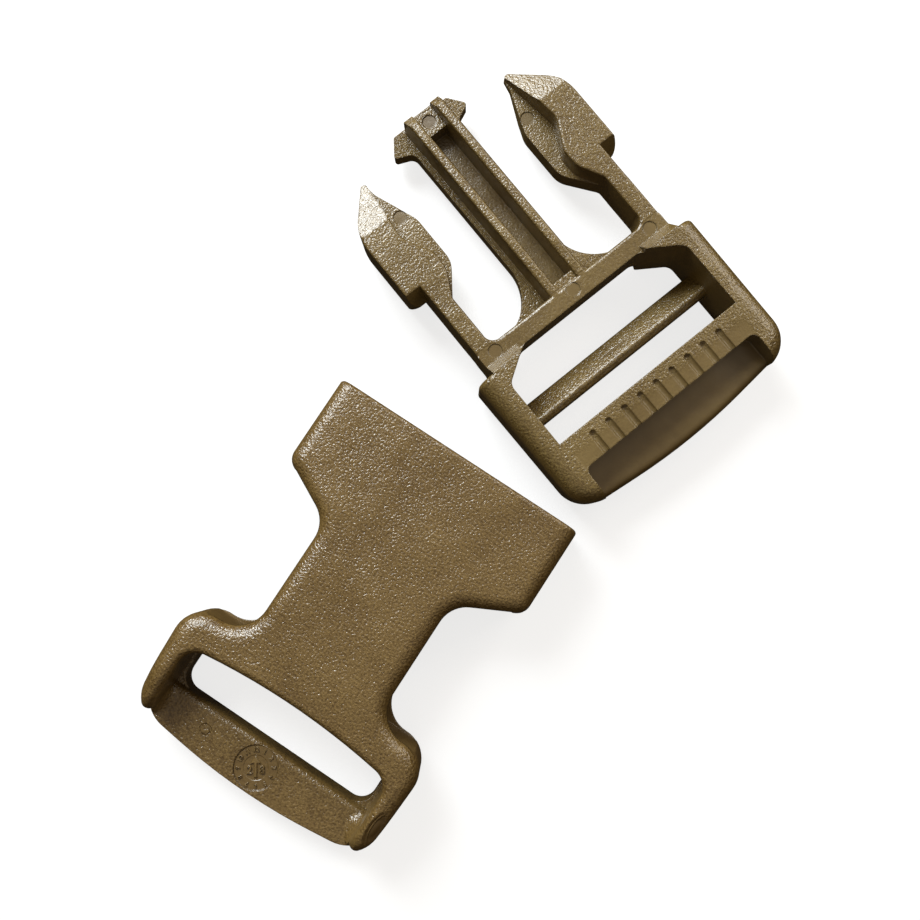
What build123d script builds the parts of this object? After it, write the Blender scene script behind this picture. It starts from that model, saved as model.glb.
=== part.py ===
from build123d import *
from collections import namedtuple
import math
import os

# Side-release buckle for 25 mm webbing, unfastened, its two halves lying apart on a surface.
# Each half is drawn in its own frame: x across, y towards the end that meets the other half, z up.
# The origin of each frame is in the middle of the face where the halves meet when fastened.

# webbing, and what both halves share
webbing_width = 25.0
webbing_clearance = 0.5
buckle_thickness = 8.2
rail_width = 3.05
end_bow_radius = 76.0

# prongs of the plug, measured from the meeting face
prong_length = 27.95
prong_head_width = 7.35
arm_width = 2.15
arm_root_round = 1.3
pivot_reach = 5.6
flex_gap = 0.15
hook_reach = 12.1
hook_step = 2.07
hook_slope_run = 1.45
hook_corner_round = 1.2
notch_round = 0.3
step_height = 2.5
tip_bevel_share = 0.36
tip_bevel_drop = 1.95
prong_edge_round = 0.3

# fit of the plug in the socket
side_wall = 1.6
latch_grip = 1.3
latch_clearance = 0.5
latch_lip = 0.6
waist_clearance = 0.25
window_clearance = 2.45
window_overrun = 0.4
nose_clearance = 0.7
nose_side_clearance = 1.15
slide_clearance = 0.2

# socket: the hollow half with a sewn-in loop
head_shoulder_slope = 27.0
head_corner_round = 1.8
neck_round = 3.4
loop_step_share = 0.47
socket_edge_round = 1.9
mouth_round = 0.45

# loop of the socket, whose top curves down to its end
loop_arm_width = 3.25
loop_taper = 0.75
loop_bow_share = 0.6
loop_corner_round = 4.4
loop_shoulder = 3.4
loop_end_flat = 0.3
loop_fall_run = 9.0
loop_slot_width = 6.45
loop_slot_bow = 1.0
slot_corner_round = 1.9
crossbar_width = 5.8
crossbar_thickness = 2.9
recess_clearance = 0.35
recess_rim_round = 0.8
crossbar_round = 0.8

# sunk disc of the date dial on the crossbar
dial_radius = 2.6
dial_depth = 0.12

# plug: a frame that grips an adjustable strap, with a guide and two prongs in front
frame_bow_share = 0.5
frame_taper = 0.3
frame_corner_round = 3.9
frame_edge_round = 2.2
shoulder_round = 0.55

# opening of the frame: a gap on each side of the middle bar
opening_front = 0.6
bar_gap = 5.4
bar_width = 3.2
strap_gap = 3.05
corner_cut_across = 4.4
corner_cut_along = 2.9
corner_cut_round = 1.4

# plate between the frame and the prongs, with a ramp up to each shoulder
plate_thickness = 5.0
plate_depth = 2.35
plate_round = 0.4
ramp_run = 1.1
ramp_width = 4.4

# middle bar of the frame, which the strap passes over
bar_bottom = 0.3
bar_height = 4.2
bar_nose_height = 2.0
bar_ridge_back = 0.75
bar_round = 0.4

# grip bar with its grooves, and the finger ledge behind it
grip_width = 3.95
groove_count = 9
groove_pitch = 2.32
groove_width = 0.8
groove_depth = 0.38
grip_land = 1.0
ledge_depth = 5.05
ledge_height = 5.3
ledge_corner_round = 0.9
ledge_rear_round = 1.0
tail_gap = 1.6

# guide in the middle, with two ribs on a floor and a barb on each side of its end
guide_lead = 2.95
guide_width = 6.8
guide_floor = 1.65
guide_root_round = 6.1
rib_outer_width = 5.25
rib_inner_width = 2.75
rib_rise = 0.2
rib_rise_start = 3.5
rib_rise_end = 7.6
rib_end_back = 0.4
rib_bevel_length = 1.3
rib_bevel_drop = 0.9
rib_round = 0.38
channel_start = 4.0
guide_block_length = 3.2
guide_block_drop = 1.5
barb_width = 11.5
barb_end_width = 8.2
barb_tip_back = 2.2
barb_root_back = 3.2
barb_round = 0.4
barb_root_round = 1.1

# sunk round marks where the ejector pins pushed, their places as shares of the face they lie in
pin_mark_radius = 0.85
pin_mark_depth = 0.08
plate_mark_across = 0.85
plate_mark_along = 0.6
block_mark_along = 0.5
head_mark_across = 0.2
head_mark_along = 0.64

# corners of a prong's head: across as a share of its width from the inner side,
# along as a share of its length from hook to tip, rounding as a share of that length
Corner = namedtuple("Corner", "across along rounding")
head_outside = [Corner(1.0, 0.677, 0.4), Corner(0.4, 1.0, 0.02), Corner(0.31, 1.0, 0.02)]
flange_edge = [Corner(0.29, 0.9, 0.1), Corner(0.0, 0.55, 0.2), Corner(0.0, 0.133, 0.19)]
step_edge = [Corner(0.455, 0.46, 0.14), Corner(0.185, 0.22, 0.12), Corner(0.195, 0.07, 0.18)]
arm_corner_along = -0.128
arm_corner_rounding = 0.06

# how the halves lie: headings of their y axes, the socket's mouth beside the plug
socket_heading = 56.8
plug_heading = 128.8
lie_gap = 1.49
lie_back = 4.78

# widths that follow from the webbing
slot_half = webbing_width / 2 + webbing_clearance
half_width = slot_half + rail_width
loop_half = slot_half + loop_arm_width
head_outer = half_width - side_wall + latch_grip
head_inner = head_outer - prong_head_width
arm_reach = head_outer - hook_step
arm_inner = arm_reach - arm_width
waist_half = head_inner + waist_clearance

# lengths that follow from the prongs
guide_length = prong_length + guide_lead
latch_depth = hook_reach - latch_clearance
head_length = latch_depth - latch_lip
window_end = prong_length + window_clearance
waist_end = window_end - window_overrun
cavity_depth = guide_length + nose_clearance
slot_front = waist_end + loop_shoulder
slot_rear = slot_front + loop_slot_width
socket_length = slot_rear + crossbar_width
loop_fall = buckle_thickness - 2 * socket_edge_round - loop_end_flat

# heights, and lengths of the frame
mid_height = buckle_thickness / 2
plate_bottom = mid_height - plate_thickness / 2
plate_top = mid_height + plate_thickness / 2
rib_top = plate_top + rib_rise
plate_front = opening_front + plate_depth
bar_front = opening_front - bar_gap
bar_rear = bar_front - bar_width
opening_rear = bar_rear - strap_gap
grip_rear = opening_rear - grip_width
frame_length = ledge_depth - grip_rear
pivot_x = arm_reach - arm_width / 2

# how far a cutter runs past the surface, how far joined solids run into each other,
# and how near an edge lies to the place it is looked for
over = 5.0
overlap = 1.0
near = 0.01


def mirrored_face(points, radii, end_middle=None):
    """Face between a filleted line on the right and its mirror image, closed across the middle."""
    first, last = points[0], points[-1]
    with BuildSketch() as sketch:
        with BuildLine():
            right = FilletPolyline(*points, radius=radii)
            mirror(right, about=Plane.YZ)
            if end_middle:
                ThreePointArc(last, end_middle, (-last[0], last[1]))
            else:
                Line(last, (-last[0], last[1]))
            Line(first, (-first[0], first[1]))
        make_face()
    return sketch.sketch


def slab(face, z0, z1):
    """Solid of a flat face between two heights."""
    return extrude(Pos(0, 0, z0) * face, amount=z1 - z0)


def block(x0, x1, y0, y1, z0, z1):
    """Box between two corners."""
    centre = ((x0 + x1) / 2, (y0 + y1) / 2, (z0 + z1) / 2)
    return Pos(*centre) * Box(x1 - x0, y1 - y0, z1 - z0)


def bar_along_x(points, x0, x1, radii=0):
    """Bar with a section drawn in y and z, from x0 to x1."""
    line = FilletPolyline(*[(0, y, z) for y, z in points], radius=radii, close=True)
    face = make_face(line)
    return extrude(Pos(x0, 0, 0) * face, amount=x1 - x0, dir=(1, 0, 0))


def both_sides(part):
    """A part and its mirror image on the left."""
    return part + mirror(part, about=Plane.YZ)


def above_and_below(part):
    """A part and its mirror image about the middle of the thickness."""
    return part + mirror(part, about=Plane.XY.offset(mid_height))


def edges_at(shape, z):
    """Edges of a solid that lie wholly at one height."""
    return shape.edges().filter_by_position(Axis.Z, z - near, z + near)


def arc_drop(radius, x):
    """How far an arc falls from its middle at a distance x from it."""
    return radius - math.sqrt(radius ** 2 - x ** 2)


def bowed_end(share, x_corner, y_middle):
    """Corner and join of a bowed end: the straight run between them is tangent to the bow."""
    x_join = share * x_corner
    y_join = y_middle + arc_drop(end_bow_radius, x_join)
    slope = x_join / math.sqrt(end_bow_radius ** 2 - x_join ** 2)
    return (x_corner, y_join + (x_corner - x_join) * slope), (x_join, y_join)


def level_edges(body):
    """Edges of a solid that don't run straight up."""
    return body.edges().filter_by(Axis.Z, reverse=True)


def rounded_blank(body, corner_round, front_round):
    """Moulding with all its rims rounded, cut off square at y = 0 and its front rim rounded less."""
    body = fillet(level_edges(body).filter_by(Axis.X, reverse=True), corner_round)
    body -= block(-2 * half_width, 2 * half_width, 0, 2 * over, -over, buckle_thickness + over)
    front = body.faces().sort_by(Axis.Y)[-1]
    return fillet(front.edges(), front_round)


def socket_outline():
    """Outline of the socket: wide head, narrow waist, and the loop with its bowed end."""
    neck_y = -head_length - (half_width - waist_half) * math.tan(math.radians(head_shoulder_slope))
    step_round = loop_step_share * (loop_half - waist_half)
    corner, join = bowed_end(loop_bow_share, loop_half - loop_taper, -socket_length)
    points = [(half_width, over), (half_width, -head_length), (waist_half, neck_y),
              (waist_half, -waist_end), (loop_half, -waist_end), corner, join]
    radii = [head_corner_round, neck_round, step_round, step_round, loop_corner_round]
    return mirrored_face(points, radii, (0, -socket_length))


def arched_opening(half, y_low, high_round, low_round):
    """Opening of the loop: its front edge is arched, and the recess round it has the same arch."""
    radius = (slot_half ** 2 + loop_slot_bow ** 2) / (2 * loop_slot_bow)
    y_high = -slot_front - arc_drop(radius, half)
    with BuildSketch() as sketch:
        with BuildLine():
            Polyline((half, y_high), (half, y_low), (-half, y_low), (-half, y_high))
            ThreePointArc((half, y_high), (0, -slot_front), (-half, y_high))
        make_face()
        if low_round:
            fillet(sketch.vertices().group_by(Axis.Y)[0], low_round)
        fillet(sketch.vertices().sort_by(Axis.Y)[-2:], high_round)
    return sketch.sketch


def above_the_fall():
    """Space above the end of the loop, bounded by an arc that leaves the top without a crease."""
    start = loop_fall_run - socket_length
    radius = (loop_fall_run ** 2 + loop_fall ** 2) / (2 * loop_fall)
    low = buckle_thickness - radius
    space = block(-2 * loop_half, 2 * loop_half, start - radius, start, low, buckle_thickness + over)
    return space - Pos(0, start, low) * Rot(0, 90, 0) * Cylinder(radius, 4 * loop_half)


def make_socket():
    """Socket: rounded moulding with the loop's recess and slot, and the hollow for the plug."""
    blank = slab(socket_outline(), 0, buckle_thickness) - above_the_fall()
    body = rounded_blank(blank, socket_edge_round, mouth_round)

    # recess above the thin crossbar, open to the rear, with soft rims on the arms
    wide = slot_half + recess_clearance
    recess = arched_opening(wide, -socket_length - over, slot_corner_round + recess_clearance, 0)
    body -= slab(recess, crossbar_thickness, buckle_thickness + over)
    rims = level_edges(body).filter_by(lambda e: e.center().Y < -waist_end and e.center().Z > mid_height)
    rims = rims.filter_by(lambda e: abs(e.center().X) < wide + near)
    body = fillet(rims, recess_rim_round)

    # slot for the webbing, and the rounded edge of the crossbar along it
    slot = arched_opening(slot_half, -slot_rear, slot_corner_round, slot_corner_round)
    body -= slab(slot, -over, buckle_thickness + over)
    axis_y = -slot_rear - crossbar_round
    axis_z = crossbar_thickness - crossbar_round
    rounding = Pos(0, axis_y, axis_z) * Rot(0, 90, 0) * Cylinder(crossbar_round, 2 * loop_half)
    corner = block(-wide, wide, axis_y, -slot_rear + loop_slot_width / 2, axis_z, crossbar_thickness + overlap)
    body -= corner - rounding
    body -= Pos(0, -slot_rear - crossbar_width / 2, crossbar_thickness) * Cylinder(dial_radius, 2 * dial_depth)

    # hollow: between side walls as far as the latching faces, open at both sides behind them
    inside = half_width - side_wall
    nose = barb_width / 2 + nose_side_clearance
    z0 = plate_bottom - rib_rise - slide_clearance
    z1 = plate_top + rib_rise + slide_clearance
    body -= block(-inside, inside, -latch_depth - overlap, over, z0, z1)
    body -= block(-2 * half_width, 2 * half_width, -window_end, -latch_depth, z0, z1)
    return body - block(-nose, nose, -cavity_depth, -window_end + overlap, z0, z1)


def frame_opening():
    """Opening through the frame, narrower at the front."""
    cut = slot_half - corner_cut_across
    points = [(cut / 2, opening_front), (cut, opening_front), (slot_half, opening_front - corner_cut_along),
              (slot_half, opening_rear)]
    return mirrored_face(points, [corner_cut_round, corner_cut_round])


def grip_grooves():
    """Round-bottomed grooves of the grip bar, from a round end near the strap gap out to the finger ledge."""
    radius = groove_width / 2
    front = opening_rear - grip_land - radius
    rear = grip_rear - overlap
    z = buckle_thickness - groove_depth + radius
    grooves = []
    for i in range(groove_count):
        x = (i - (groove_count - 1) / 2) * groove_pitch
        grooves.append(Pos(x, (front + rear) / 2, z) * Rot(90, 0, 0) * Cylinder(radius, front - rear))
        grooves.append(Pos(x, front, z) * Sphere(radius))
    return grooves


def make_frame():
    """Frame of the plug with its opening, and the shoulders that the plate and the prongs grow from."""
    corner, join = bowed_end(frame_bow_share, half_width - frame_taper, -frame_length)
    outline = mirrored_face([(half_width, over), corner, join], [frame_corner_round], (0, -frame_length))
    body = rounded_blank(slab(outline, 0, buckle_thickness), frame_edge_round, shoulder_round)

    # shoulders of the plate and ramps from it up to the top and underside of the frame
    inner = slot_half - corner_cut_across - corner_cut_round / 2
    body += both_sides(block(inner, arm_reach, -overlap, plate_front / 2, plate_bottom, plate_top))
    ramp = bar_along_x([(-overlap, plate_top - overlap), (-overlap, buckle_thickness), (0, buckle_thickness),
                        (ramp_run, plate_top), (ramp_run, plate_top - overlap)],
                       arm_reach - ramp_width, arm_reach)
    body += above_and_below(both_sides(ramp))
    return body - slab(frame_opening(), -over, buckle_thickness + over)


def make_plate():
    """Plate across the front of the frame, its front edges rounded."""
    section = [(opening_front, plate_bottom), (plate_front, plate_bottom), (plate_front, plate_top),
               (opening_front, plate_top)]
    return bar_along_x(section, -arm_reach, arm_reach, [0, plate_round, plate_round, 0])


def make_bars(body):
    """Middle bar, then the grip bar and finger ledge cut out of the rear of the frame."""
    section = [(bar_front, bar_bottom), (bar_front, bar_nose_height), (bar_rear + bar_ridge_back, bar_height),
               (bar_rear, bar_height - bar_ridge_back), (bar_rear, bar_bottom)]
    body += bar_along_x(section, -slot_half - overlap, slot_half + overlap, bar_round)

    half = webbing_width / 2
    ledge = block(-half, half, -frame_length - over, grip_rear, ledge_height, buckle_thickness + over)
    body -= fillet(ledge.edges().filter_by(Axis.Z).group_by(Axis.Y)[-1], ledge_corner_round)
    body -= block(-slot_half, slot_half, -frame_length - over, opening_rear + overlap, -over, tail_gap)
    for groove in grip_grooves():
        body -= groove
    return fillet(edges_at(body, ledge_height).sort_by(Axis.Y)[0], ledge_rear_round)


def make_guide():
    """Guide: floor with a flared root and barbs at its end, two ribs, and the block between their ends."""
    half = guide_width / 2
    root = half + guide_root_round
    end = barb_end_width / 2
    behind = plate_front - overlap
    outline = [(root + overlap, behind), (root + overlap, plate_front), (half, plate_front),
               (half, guide_length - barb_root_back), (barb_width / 2, guide_length - barb_tip_back),
               (end, guide_length), (end / 2, guide_length)]
    radii = [0, guide_root_round, barb_root_round, barb_round, barb_round]
    guide = slab(mirrored_face(outline, radii), plate_bottom, plate_bottom + guide_floor)

    rib_end = guide_length - rib_end_back
    rib = bar_along_x([(behind, plate_bottom), (behind, plate_top), (rib_rise_start, plate_top),
                       (rib_rise_end, rib_top), (rib_end - rib_bevel_length, rib_top),
                       (rib_end, rib_top - rib_bevel_drop), (rib_end, plate_bottom)],
                      rib_inner_width / 2, rib_outer_width / 2)
    long_edges = rib.edges().filter_by(lambda e: e.length > guide_length / 2 and e.center().Z > plate_top)
    guide += both_sides(fillet(long_edges, rib_round))

    tie = rib_inner_width / 2 + rib_round
    block_top = rib_top - guide_block_drop
    guide += block(-tie, tie, rib_end - guide_block_length, rib_end, plate_bottom, block_top)
    return guide + block(-tie, tie, behind, channel_start, plate_bottom, plate_top - rib_round)


def make_stub():
    """Root of the right arm, hollowed at its end to take the rounded end of the prong."""
    root = arm_inner - arm_root_round - overlap
    behind = plate_front - overlap
    points = [(root, behind), (root, plate_front), (arm_inner, plate_front), (arm_inner, pivot_reach),
              (arm_reach, pivot_reach), (arm_reach, behind)]
    outline = FilletPolyline(*points, radius=[0, 0, arm_root_round, 0, 0, 0], close=True)
    stub = slab(make_face(outline), plate_bottom, plate_top)
    rims = edges_at(stub, plate_bottom) + edges_at(stub, plate_top)
    stub = fillet(rims.filter_by(lambda e: e.center().Y > plate_front + near), prong_edge_round)
    hollow = Cylinder(arm_width / 2 + flex_gap, buckle_thickness)
    return stub - Pos(pivot_x, pivot_reach, mid_height) * hollow


def pin_mark(x, y, z):
    """Shallow round hollow in a face at height z."""
    return Pos(x, y, z) * Cylinder(pin_mark_radius, 2 * pin_mark_depth)


def make_plug():
    """Plug without its prongs, with a row of pin marks on the plate and one at the end of the guide."""
    plug = make_bars(make_frame() + make_plate()) + make_guide() + both_sides(make_stub())
    plate_y = opening_front + plate_mark_along * plate_depth
    for x in (-plate_mark_across * arm_reach, 0, plate_mark_across * arm_reach):
        plug -= pin_mark(x, plate_y, plate_top)
    block_y = guide_length - rib_end_back - block_mark_along * guide_block_length
    return plug - pin_mark(0, block_y, rib_top - guide_block_drop)


def prong_face(inner_corners):
    """Outline of a prong round its hook and tip, then back along the given inner edge to the arm."""
    length = prong_length - hook_reach
    corners = head_outside + inner_corners
    points = [(arm_reach, pivot_reach), (arm_reach, hook_reach), (head_outer, hook_reach)]
    points += [(head_inner + c.across * prong_head_width, hook_reach + c.along * length) for c in corners]
    points += [(arm_inner, hook_reach + arm_corner_along * length), (arm_inner, pivot_reach)]
    radii = [notch_round, hook_corner_round] + [c.rounding * length for c in corners]
    radii.append(arm_corner_rounding * length)
    with BuildSketch() as sketch:
        with BuildLine():
            FilletPolyline(*points, radius=radii)
            ThreePointArc(points[-1], (pivot_x, pivot_reach - arm_width / 2), points[0])
        make_face()
    return sketch.sketch


def make_prong():
    """Right prong: full thickness outside the step, half of it in the flange on the inner side."""
    prong = slab(prong_face(flange_edge), plate_bottom, plate_bottom + step_height)
    prong += slab(prong_face(step_edge), plate_bottom, plate_top)

    # bevelled tip, over a share of the head's length
    bevel_length = tip_bevel_share * (prong_length - hook_reach)
    start = prong_length - bevel_length
    bevel_end = plate_top - tip_bevel_drop * (bevel_length + over) / bevel_length
    bevel = bar_along_x([(start, plate_top), (prong_length + over, bevel_end),
                         (prong_length + over, plate_top + over), (start, plate_top + over)],
                        0, 2 * half_width)

    # hook whose face slopes back from the middle of its thickness
    high = mid_height + plate_thickness
    relief = bar_along_x([(hook_reach - over, mid_height), (hook_reach, mid_height),
                          (hook_reach + 2 * hook_slope_run, high), (hook_reach - over, high)],
                         arm_reach, 2 * half_width)
    prong = prong - above_and_below(bevel) - above_and_below(relief)
    prong = fillet(edges_at(prong, plate_bottom) + edges_at(prong, plate_top), prong_edge_round)
    mark_x = head_inner + head_mark_across * prong_head_width
    mark_y = hook_reach + head_mark_along * (prong_length - hook_reach)
    return prong - pin_mark(mark_x, mark_y, plate_bottom + step_height)


os.makedirs("parts", exist_ok=True)
plug = make_plug()
prong = make_prong()

# the plug is turned to its heading, and the socket lies beside it, clear of its left side
turn = plug_heading - socket_heading
aside = half_width * (1 + math.cos(math.radians(turn))) + lie_gap
plug_lie = Rot(0, 0, plug_heading - 90)
socket_lie = plug_lie * Pos(-aside, -lie_back, 0) * Rot(0, 0, -turn)
nodes = {
    "socket_body": socket_lie * make_socket(),
    "plug_frame": plug_lie * plug,
    "prong_right": plug_lie * prong,
    "prong_left": plug_lie * mirror(prong, about=Plane.YZ),
}
solids = {name: node.solid() for name, node in nodes.items()}

# the origin of the whole lies under the middle of the space that it takes up
middle = Compound(list(solids.values())).bounding_box().center()
for name, solid in solids.items():
    export_step(Pos(-middle.X, -middle.Y, 0) * solid, "parts/" + name + ".step")
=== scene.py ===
import math

import bpy
import bmesh
from mathutils import Matrix, Vector


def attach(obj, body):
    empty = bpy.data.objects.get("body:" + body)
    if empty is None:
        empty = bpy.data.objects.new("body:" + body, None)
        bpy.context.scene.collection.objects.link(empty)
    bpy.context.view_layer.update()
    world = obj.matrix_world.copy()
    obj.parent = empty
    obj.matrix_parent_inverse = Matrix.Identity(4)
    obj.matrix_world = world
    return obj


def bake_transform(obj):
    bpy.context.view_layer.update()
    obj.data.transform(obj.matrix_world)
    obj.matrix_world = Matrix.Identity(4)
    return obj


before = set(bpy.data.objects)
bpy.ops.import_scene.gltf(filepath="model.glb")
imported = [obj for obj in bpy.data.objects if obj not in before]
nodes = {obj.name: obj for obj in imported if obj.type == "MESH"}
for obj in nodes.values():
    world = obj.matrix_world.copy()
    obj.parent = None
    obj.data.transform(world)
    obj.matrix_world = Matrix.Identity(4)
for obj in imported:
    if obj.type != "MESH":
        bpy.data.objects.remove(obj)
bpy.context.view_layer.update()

MM = 0.001

# The row frame is in metres. Each half has its own frame in millimetres, as in part.py.
SOCKET_AT, SOCKET_TURN = (-0.6606, -1.1497), math.radians(56.8 - 90)
PLUG_AT, PLUG_TURN = (13.8791, 16.6740), math.radians(128.8 - 90)

# heights of the faces that carry marks
CROSSBAR_TOP = 2.9
PLATE_TOP = 6.6
FLANGE_TOP = 4.1
GUIDE_FLOOR = 3.25
BLOCK_TOP = 5.3

# a prong's arm from side to side and from below to above
ARM = (11.53, 13.68)
ARM_Z = (1.6, 6.6)

# dial: centre, radius of its recess, and the turn that sets its characters upright in the photo's view
DIAL = (0.0, -42.75)
DIAL_RADIUS = 2.6
DIAL_TURN = math.radians(33.2)

# the frame's middle in x ends here, and the gap between the guide's ribs is this wide to either side
GRIP_HALF = (12.3, 12.7)
CHANNEL_HALF = (1.35, 1.45)

# camera: place in millimetres, tilt off straight down, direction of the tilt, focal length in pixels of 920
CAMERA_AT = (-0.1409, -10.3860, 103.7)
CAMERA_TILT = math.radians(5.12)
CAMERA_LEAN = (-3.5, 76.5, 0)
CAMERA_FOCAL = 853

# relief of the acetal's surface in millimetres
GRAIN_HEIGHT = 0.1
PIT_HEIGHT = 0.03
PATCH_HEIGHT = 0.035
WAVE_HEIGHT = 0.4
GROOVE_DEPTH = 0.085
EDGE_ROUND = 0.22

# the acetal's darkest and lightest tone
DARK_TAN = (0.074, 0.041, 0.010)
LIGHT_TAN = (0.176, 0.113, 0.037)


def in_row(at, turn):
    """Matrix from a half's millimetres to the row frame's metres."""
    move = Matrix.Translation(Vector((at[0] * MM, at[1] * MM, 0)))
    return move @ Matrix.Rotation(turn, 4, "Z") @ Matrix.Scale(MM, 4)


SOCKET = in_row(SOCKET_AT, SOCKET_TURN)
PLUG = in_row(PLUG_AT, PLUG_TURN)


# camera

def make_camera():
    """Camera above the surface, a little off straight down."""
    lean = Vector(CAMERA_LEAN).normalized()
    side = math.sin(CAMERA_TILT)
    forward = Vector((side * lean.x, side * lean.y, -math.cos(CAMERA_TILT)))
    right = forward.cross(Vector((0, 1, 0))).normalized()
    up = right.cross(forward)
    data = bpy.data.cameras.new("camera")
    data.sensor_width = 36.0
    data.sensor_fit = "HORIZONTAL"
    data.lens = CAMERA_FOCAL / 920 * data.sensor_width
    data.clip_start = 0.005
    data.clip_end = 20
    cam = bpy.data.objects.new("camera", data)
    cam.matrix_world = Matrix((
        (right.x, up.x, -forward.x, CAMERA_AT[0] * MM),
        (right.y, up.y, -forward.y, CAMERA_AT[1] * MM),
        (right.z, up.z, -forward.z, CAMERA_AT[2] * MM),
        (0, 0, 0, 1)))
    bpy.context.scene.collection.objects.link(cam)
    bpy.context.scene.camera = cam


make_camera()


# materials

class Graph:
    """Short names for the nodes of one material."""

    def __init__(self, name):
        self.mat = bpy.data.materials.new(name)
        self.mat.use_nodes = True
        self.tree = self.mat.node_tree
        self.shader = self.tree.nodes["Principled BSDF"]
        self.place = None

    def node(self, kind, values=(), **props):
        n = self.tree.nodes.new(kind)
        for key, value in props.items():
            setattr(n, key, value)
        for key, value in dict(values).items():
            self.put(n.inputs[key], value)
        return n

    def put(self, socket, value):
        if isinstance(value, bpy.types.NodeSocket):
            self.tree.links.new(value, socket)
        else:
            socket.default_value = value

    def math(self, op, *args, clamp=False):
        n = self.node("ShaderNodeMath", operation=op, use_clamp=clamp)
        for i, a in enumerate(args):
            self.put(n.inputs[i], a)
        return n.outputs[0]

    def ramp(self, value, low, high, a=0.0, b=1.0):
        """Smooth step of a value from a, below low, to b, above high."""
        n = self.node("ShaderNodeMapRange", interpolation_type="SMOOTHSTEP")
        for key, v in (("Value", value), ("From Min", low), ("From Max", high), ("To Min", a), ("To Max", b)):
            self.put(n.inputs[key], v)
        return n.outputs[0]

    def below(self, value, low, high):
        """Smooth step from 1, below low, to 0, above high."""
        return self.ramp(value, low, high, 1.0, 0.0)

    def times(self, *values):
        out = values[0]
        for v in values[1:]:
            out = self.math("MULTIPLY", out, v)
        return out

    def plus(self, *values):
        out = values[0]
        for v in values[1:]:
            out = self.math("ADD", out, v)
        return out

    def minus(self, a, b):
        return self.math("SUBTRACT", a, b)

    def flip(self, value):
        return self.minus(1.0, value)

    def size(self, value):
        return self.math("ABSOLUTE", value)

    def local(self, at, turn):
        """x, y and z in millimetres in a half's own frame."""
        coords = self.node("ShaderNodeTexCoord").outputs["Object"]
        c, s = math.cos(turn), math.sin(turn)
        n = self.node("ShaderNodeMapping", {"Vector": coords}, vector_type="POINT")
        n.inputs["Location"].default_value = (-(c * at[0] + s * at[1]), s * at[0] - c * at[1], 0)
        n.inputs["Rotation"].default_value = (0, 0, -turn)
        n.inputs["Scale"].default_value = (1000, 1000, 1000)
        self.place = n.outputs[0]
        xyz = self.node("ShaderNodeSeparateXYZ", {"Vector": self.place})
        return xyz.outputs[0], xyz.outputs[1], xyz.outputs[2]

    def distance(self, x, y, cx, cy, sx=1.0, sy=1.0):
        """Distance from a point, in units of sx along x and sy along y."""
        dx = self.times(self.minus(x, cx), 1.0 / sx)
        dy = self.times(self.minus(y, cy), 1.0 / sy)
        return self.math("SQRT", self.plus(self.times(dx, dx), self.times(dy, dy)))

    def line(self, value, at, width):
        """1 on a thin line where the value is at, 0 beside it."""
        return self.below(self.size(self.minus(value, at)), width * 0.3, width)

    def within(self, value, low, high, soft):
        """1 between low and high, with soft ends."""
        up = self.ramp(value, low - soft, low + soft)
        return self.times(up, self.below(value, high - soft, high + soft))

    def at_height(self, z, height):
        """1 on a level face of this height."""
        return self.within(z, height - 0.18, height + 0.14, 0.04)

    def noise(self, scale, detail=2.0, rough=0.5, distortion=0.0):
        n = self.node("ShaderNodeTexNoise", {"Vector": self.place, "Scale": scale, "Detail": detail,
                                             "Roughness": rough, "Distortion": distortion})
        return n.outputs["Fac"]

    def cells(self, scale):
        n = self.node("ShaderNodeTexVoronoi", {"Vector": self.place, "Scale": scale}, feature="SMOOTH_F1")
        return n.outputs["Distance"]


def acetal(name, at, turn, marks, smooth, side_grain, depth, olive):
    """Tan acetal with a fine spark-eroded grain.

    The grain fades to side_grain on upright faces and is left out in the zones that marks and smooth give.
    depth scales it, and olive above 1 takes red out of the tan.
    """
    g = Graph(name)
    x, y, z = g.local(at, turn)
    normal = g.node("ShaderNodeSeparateXYZ", {"Vector": g.node("ShaderNodeTexCoord").outputs["Normal"]})
    level = g.size(normal.outputs[2])
    grain = g.ramp(level, 0.25, 0.8, side_grain, 1.0)
    groove, painted_shading, calm = marks(g, x, y, z, level)
    for zone in smooth(g, x, y, z) + [calm]:
        grain = g.times(grain, g.flip(zone))

    fine = g.noise(3.9, 1.5, 0.55, 0.1)
    pits = g.cells(3.3)
    broad = g.noise(0.13, 1.6, 0.5)
    patches = g.noise(0.7, 2.0, 0.5)
    height = g.times(g.plus(g.times(fine, GRAIN_HEIGHT), g.times(pits, PIT_HEIGHT)), grain, depth)
    height = g.plus(height, g.times(patches, PATCH_HEIGHT), g.times(broad, WAVE_HEIGHT))
    height = g.minus(height, g.times(groove, GROOVE_DEPTH))
    edges = g.node("ShaderNodeBevel", {"Radius": EDGE_ROUND * MM}, samples=4)
    bump = g.node("ShaderNodeBump", {"Strength": 1.0, "Distance": MM, "Height": height,
                                     "Normal": edges.outputs[0]})
    g.put(g.shader.inputs["Normal"], bump.outputs[0])

    tone = g.times(g.minus(fine, 0.5), grain, 2.0 * depth)
    tone = g.plus(tone, g.times(g.minus(broad, 0.5), 0.9), g.times(g.minus(patches, 0.5), 0.35), 0.5)
    # painted shading from the marks: darker in grooves, recesses and shadowed zones, lighter on the dial's raised
    # characters
    tone = g.math("SUBTRACT", tone, g.times(painted_shading, 0.5), clamp=True)
    colour = g.node("ShaderNodeMix", {"Factor": tone}, data_type="RGBA")
    for socket, (red, green, blue) in ((6, DARK_TAN), (7, LIGHT_TAN)):
        colour.inputs[socket].default_value = (red, green * olive, blue * olive, 1)
    g.put(g.shader.inputs["Base Color"], colour.outputs[2])
    g.put(g.shader.inputs["Roughness"], g.plus(g.times(grain, -0.05), g.times(broad, 0.08), 0.29))
    g.shader.inputs["IOR"].default_value = 1.5
    g.shader.inputs["Specular IOR Level"].default_value = 0.9
    return g.mat


def pin_mark(g, r, top):
    """The smooth disc left by an ejector pin."""
    return g.times(g.below(r, 0.8, 0.88), top)


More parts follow.
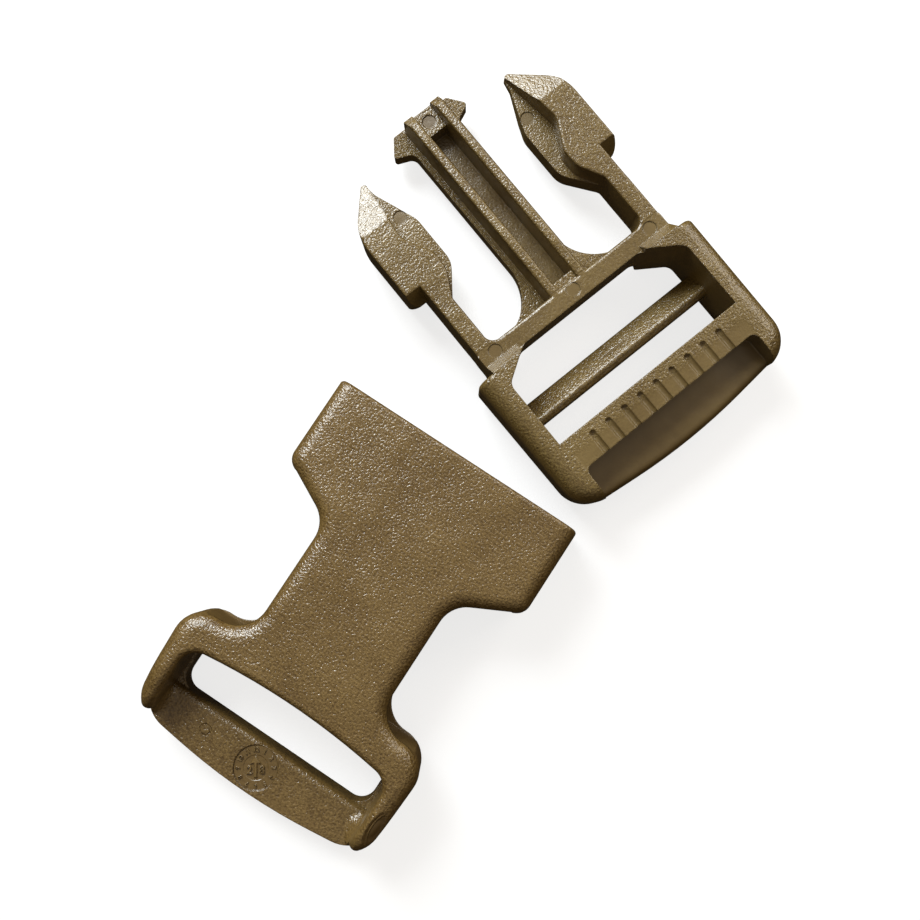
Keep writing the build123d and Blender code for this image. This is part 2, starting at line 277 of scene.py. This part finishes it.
def socket_smooth(g, x, y, z):
    """The hollow inside."""
    inside = g.times(g.below(g.size(x), 14.3, 14.5), g.within(y, -31.7, 0.2, 0.1),
                     g.within(z, 1.1, 7.1, 0.05))
    return [inside]


def socket_marks(g, x, y, z, level):
    """Inner ring of the dial, a small round mark, and a dent in the right arm, with painted shade in the dial's
    rim and recess, the small ring and the dent, and a painted highlight on the dial's raised characters.
    """
    top = g.times(g.at_height(z, CROSSBAR_TOP), level)
    r = g.distance(x, y, *DIAL)
    disc = g.times(g.below(r, DIAL_RADIUS - 0.1, DIAL_RADIUS), top)
    inner = g.times(g.below(r, 1.38, 1.5), top)
    rim = g.times(g.line(r, DIAL_RADIUS, 0.12), top)
    raised = g.times(disc, g.ramp(z, CROSSBAR_TOP - 0.07, CROSSBAR_TOP - 0.03))
    ring = g.times(g.line(g.distance(x, y, -7.3, -42.4), 0.62, 0.16), top)
    dent = g.times(g.below(g.distance(x, y, 14.75, -39.4, 0.85, 2.3), 0.5, 1.05), g.ramp(z, 5.2, 5.8))
    scar = g.times(g.line(g.distance(x, y, 15.6, -39.2, 1.0, 1.9), 1.25, 0.12), dent)
    groove = g.plus(g.times(inner, 0.6), g.times(ring, 1.2), g.times(dent, 2.4), g.times(scar, -1.0))
    # painted shade in the dial rim, small ring, dent and dial recess; the negative term is a painted highlight on
    # the raised characters
    painted_shading = g.plus(g.times(rim, 0.3), g.times(ring, 0.5), g.times(dent, 0.6),
                   g.times(disc, 0.1), g.times(raised, -0.55))
    return groove, painted_shading, g.math("MAXIMUM", g.times(disc, 0.75), dent)


def plug_smooth(g, x, y, z):
    """Finger ledge, grooved land, guide's channel and plate."""
    across = g.size(x)
    middle = g.below(across, *GRIP_HALF)
    ledge = g.times(middle, g.below(y, -15.1, -14.9), g.below(z, 5.4, 5.6))
    land = g.times(middle, g.within(y, -15.1, -13.0, 0.6), 0.75)
    channel = g.times(g.below(across, *CHANNEL_HALF), g.at_height(z, GUIDE_FLOOR), 0.6)
    plate = g.times(g.within(y, 0.5, 3.1, 0.1), g.at_height(z, PLATE_TOP), 0.55)
    return [ledge, land, channel, plate]


def plug_marks(g, x, y, z, level):
    """Round pin marks on the plate and on the guide's end block, and cutter lines on the guide's floor, with
    painted shadow on the finger ledge and in the guide's channel and painted shade in the end block's pin mark.
    """
    across = g.size(x)
    plate = pin_mark(g, g.distance(x, y, 0.0, 2.01), g.at_height(z, PLATE_TOP))
    side = pin_mark(g, g.distance(across, y, 11.63, 2.01), g.at_height(z, PLATE_TOP))
    end = pin_mark(g, g.distance(x, y, 0.0, 28.9), g.at_height(z, BLOCK_TOP))
    floor = g.at_height(z, GUIDE_FLOOR)
    lines = g.math("SINE", g.times(across, 28.0))
    lines = g.times(lines, g.ramp(across, 2.7, 2.8), floor, g.ramp(y, 3.5, 8.0), 0.25)
    ledge = g.times(g.below(across, *GRIP_HALF), g.below(y, -15.3, -15.0), g.below(z, 5.4, 5.6))
    channel = g.times(g.below(across, *CHANNEL_HALF), floor)
    # painted shadow on the finger ledge and in the guide's channel, and painted shade in the end block's recessed
    # pin mark
    painted_shading = g.plus(g.times(end, 0.5), g.times(ledge, 0.5), g.times(channel, 0.5))
    return lines, painted_shading, g.plus(plate, side, end)


def prong_smooth(g, x, y, z):
    return []


def prong_marks(g, x, y, z, level):
    """Round pin mark on the flange of a prong's head, with painted shade in its recess."""
    disc = pin_mark(g, g.distance(g.size(x), y, 9.87, 22.24), g.at_height(z, FLANGE_TOP))
    # painted shade in the pin mark's recess
    return 0.0, g.times(disc, 0.3), disc


socket_acetal = acetal("socket_acetal", SOCKET_AT, SOCKET_TURN, socket_marks, socket_smooth,
                       side_grain=0.5, depth=1.2, olive=1.0)
plug_acetal = acetal("plug_acetal", PLUG_AT, PLUG_TURN, plug_marks, plug_smooth,
                     side_grain=0.1, depth=1.1, olive=1.07)
prong_acetal = acetal("prong_acetal", PLUG_AT, PLUG_TURN, prong_marks, prong_smooth,
                      side_grain=0.1, depth=0.9, olive=1.07)

for name, mat in (("socket_body", socket_acetal), ("plug_frame", plug_acetal),
                  ("prong_right", prong_acetal), ("prong_left", prong_acetal)):
    materials = nodes[name].data.materials
    materials.clear()
    materials.append(mat)


# pieces

def add_object(name, bm, mat):
    """Object from a finished mesh."""
    mesh = bpy.data.meshes.new(name)
    bm.to_mesh(mesh)
    bm.free()
    mesh.materials.append(mat)
    obj = bpy.data.objects.new(name, mesh)
    bpy.context.scene.collection.objects.link(obj)
    return obj


def piece(name, bm, matrix, mat, smooth=True):
    """Object from a mesh drawn in a half's millimetres, put in the row frame."""
    bmesh.ops.recalc_face_normals(bm, faces=bm.faces)
    bm.transform(matrix)
    obj = add_object(name, bm, mat)
    if smooth:
        obj.data.shade_smooth()
    else:
        obj.data.shade_flat()
    return obj


def band(bm, low, high):
    """Faces between two closed rings of vertices."""
    for i in range(len(low)):
        j = (i + 1) % len(low)
        bm.faces.new((low[i], low[j], high[j], high[i]))


def skin(bm, rings, closed_ends=False):
    """Faces between rings of points, each ring closed."""
    rows = [[bm.verts.new(p) for p in ring] for ring in rings]
    for low, high in zip(rows, rows[1:]):
        band(bm, low, high)
    if closed_ends:
        bm.faces.new(rows[0])
        bm.faces.new(rows[-1])


def rounded_rect(x0, x1, z0, z1, r, steps=6):
    """Points round a rectangle with rounded corners."""
    points = []
    corners = ((x1 - r, z1 - r), (x0 + r, z1 - r), (x0 + r, z0 + r), (x1 - r, z0 + r))
    for quarter, (cx, cz) in enumerate(corners):
        for i in range(steps + 1):
            a = math.radians(90 * quarter + 90 * i / steps)
            points.append((cx + r * math.cos(a), cz + r * math.sin(a)))
    return points


def arm_sleeve(side):
    """Thin skin round an arm's root, so that the arm runs on unbroken from the frame."""
    proud, back, length, steps = 0.012, 4.3, 4.2, 20
    section = rounded_rect(ARM[0] - proud, ARM[1] + proud, ARM_Z[0] - proud, ARM_Z[1] + proud, 0.3)
    bm = bmesh.new()
    skin(bm, [[(side * px, back + length * i / steps, pz) for px, pz in section] for i in range(steps + 1)])
    prong = "prong_right" if side > 0 else "prong_left"
    obj = piece("arm_root" + prong[5:], bm, PLUG, prong_acetal)
    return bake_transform(obj)


def cove(side):
    """Soft inner corner between an arm of the loop and the crossbar, running out at both ends."""
    wall, floor, buried = 13.37, CROSSBAR_TOP - 0.03, 0.3
    back, length, steps, arc_steps = -40.15, 3.85, 18, 10
    rings = []
    for i in range(steps + 1):
        t = i / steps
        y = back - length * t
        r = 0.05 + 1.9 * math.sin(math.pi * min(1.0, t * 2.4) / 2) ** 0.8 * (1 - 0.88 * t ** 3)
        angles = [math.pi / 2 * k / arc_steps for k in range(arc_steps + 1)]
        section = [(wall - r + r * math.sin(a), floor + r - r * math.cos(a)) for a in angles]
        section += [(wall + buried, floor + r), (wall + buried, floor - buried), (wall - r, floor - buried)]
        rings.append([(side * px, y, pz) for px, pz in section])
    bm = bmesh.new()
    skin(bm, rings, closed_ends=True)
    obj = piece("loop_corner_right" if side > 0 else "loop_corner_left", bm, SOCKET, socket_acetal)
    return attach(obj, "halves")


def add_text(bm, text, size, x, y, turn, z, height):
    """Raised characters with soft edges, centred on a point."""
    curve = bpy.data.curves.new("text", "FONT")
    curve.body = text
    curve.size = size
    curve.align_x = "CENTER"
    curve.align_y = "CENTER"
    curve.extrude = height
    curve.offset = -0.02
    curve.bevel_depth = 0.07
    curve.bevel_resolution = 1
    curve.resolution_u = 2
    obj = bpy.data.objects.new("text", curve)
    bpy.context.scene.collection.objects.link(obj)
    bpy.context.view_layer.update()
    mesh = bpy.data.meshes.new_from_object(obj.evaluated_get(bpy.context.evaluated_depsgraph_get()))
    mesh.transform(Matrix.Translation((x, y, z)) @ Matrix.Rotation(turn, 4, "Z"))
    bm.from_mesh(mesh)
    bpy.data.objects.remove(obj)
    bpy.data.meshes.remove(mesh)
    bpy.data.curves.remove(curve)


def dial():
    """Plain numbers round the dial, and an arrow between two digits."""
    cx, cy = DIAL
    z, height = CROSSBAR_TOP - 0.13, 0.13
    ring_radius, ring_size = 2.05, 0.72
    bm = bmesh.new()
    for number in range(1, 13):
        a = DIAL_TURN - math.radians(30 * number)
        add_text(bm, str(number), ring_size, cx - ring_radius * math.sin(a), cy + ring_radius * math.cos(a),
                 a, z, height * 0.6)
    c, s = math.cos(DIAL_TURN), math.sin(DIAL_TURN)
    for digit, off in (("2", -0.72), ("8", 0.72)):
        add_text(bm, digit, 1.3, cx + off * c + 0.25 * s, cy + off * s - 0.25 * c, DIAL_TURN, z, height)
    foot = [(-0.26, -1.2), (0.26, -1.2), (0.26, 0.4), (0.82, 0.28), (0.0, 1.5), (-0.82, 0.28), (-0.26, 0.4)]
    crown = [(-0.1, -1.04), (0.1, -1.04), (0.1, 0.56), (0.5, 0.52), (0.0, 1.24), (-0.5, 0.52), (-0.1, 0.56)]
    low, high = [[bm.verts.new((cx + px * c - py * s, cy + px * s + py * c, z + rise)) for px, py in shape]
                 for shape, rise in ((foot, -0.05), (crown, height + 0.05))]
    bm.faces.new(high)
    band(bm, low, high)
    obj = piece("dial_marks", bm, SOCKET, socket_acetal, smooth=False)
    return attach(obj, "halves")


for side in (1, -1):
    arm_sleeve(side)
    cove(side)
dial()


# floor and light

def paper(name, base, glow):
    """Matte paper that glows evenly."""
    g = Graph(name)
    g.shader.inputs["Base Color"].default_value = (*base, 1)
    g.shader.inputs["Roughness"].default_value = 0.9
    g.shader.inputs["Specular IOR Level"].default_value = 0.0
    g.shader.inputs["Emission Color"].default_value = (1, 1, 1, 1)
    g.shader.inputs["Emission Strength"].default_value = glow
    return g.mat


def make_floor():
    """Pale surface that casts no light on the buckle."""
    bm = bmesh.new()
    bm.faces.new([bm.verts.new((x, y, 0)) for x, y in ((-3, -3), (3, -3), (3, 3), (-3, 3))])
    floor = add_object("floor", bm, paper("floor_paper", (0.28, 0.28, 0.285), 0.77))
    floor.visible_diffuse = False
    floor.visible_glossy = False


def make_backdrop():
    """Pale dome behind the floor, seen by the camera alone."""
    bm = bmesh.new()
    bmesh.ops.create_uvsphere(bm, u_segments=48, v_segments=24, radius=2.9)
    dome = add_object("backdrop", bm, paper("backdrop_paper", (0, 0, 0), 0.85))
    dome.visible_diffuse = False
    dome.visible_glossy = False
    dome.visible_transmission = False
    dome.visible_shadow = False


def area(name, place, aim, size, watts, colour):
    """Soft rectangular light, placed and aimed in millimetres."""
    data = bpy.data.lights.new(name, "AREA")
    data.shape = "RECTANGLE"
    data.size, data.size_y = size[0] * MM, size[1] * MM
    data.energy = watts
    data.color = colour
    obj = bpy.data.objects.new(name, data)
    start, to = Vector(place) * MM, Vector(aim) * MM
    turn = (to - start).to_track_quat("-Z", "Y").to_matrix().to_4x4()
    obj.matrix_world = Matrix.Translation(start) @ turn
    bpy.context.scene.collection.objects.link(obj)


def make_world():
    """Dim warm room above the horizon, dark below it."""
    world = bpy.data.worlds.new("room")
    bpy.context.scene.world = world
    world.use_nodes = True
    tree = world.node_tree
    back = tree.nodes["Background"]
    coords = tree.nodes.new("ShaderNodeTexCoord")
    xyz = tree.nodes.new("ShaderNodeSeparateXYZ")
    ramp = tree.nodes.new("ShaderNodeMapRange")
    tree.links.new(coords.outputs["Generated"], xyz.inputs[0])
    tree.links.new(xyz.outputs[2], ramp.inputs["Value"])
    for key, value in (("From Min", 0.12), ("From Max", 0.9), ("To Min", 0.02), ("To Max", 0.38)):
        ramp.inputs[key].default_value = value
    tree.links.new(ramp.outputs[0], back.inputs["Strength"])
    back.inputs["Color"].default_value = (1.0, 0.84, 0.62, 1)


make_floor()
make_backdrop()
area("window", (-167, 314, 240), (0, 0, 0), (270, 285), 2.0, (1.0, 0.98, 0.92))
area("window_core", (-180, 287, 265), (0, 0, 0), (150, 150), 1.15, (0.82, 0.93, 1.0))
area("fill", (300, 260, 230), (0, 0, 0), (240, 240), 0.85, (1.0, 0.93, 0.82))
make_world()
bpy.context.scene.view_settings.view_transform = "Standard"
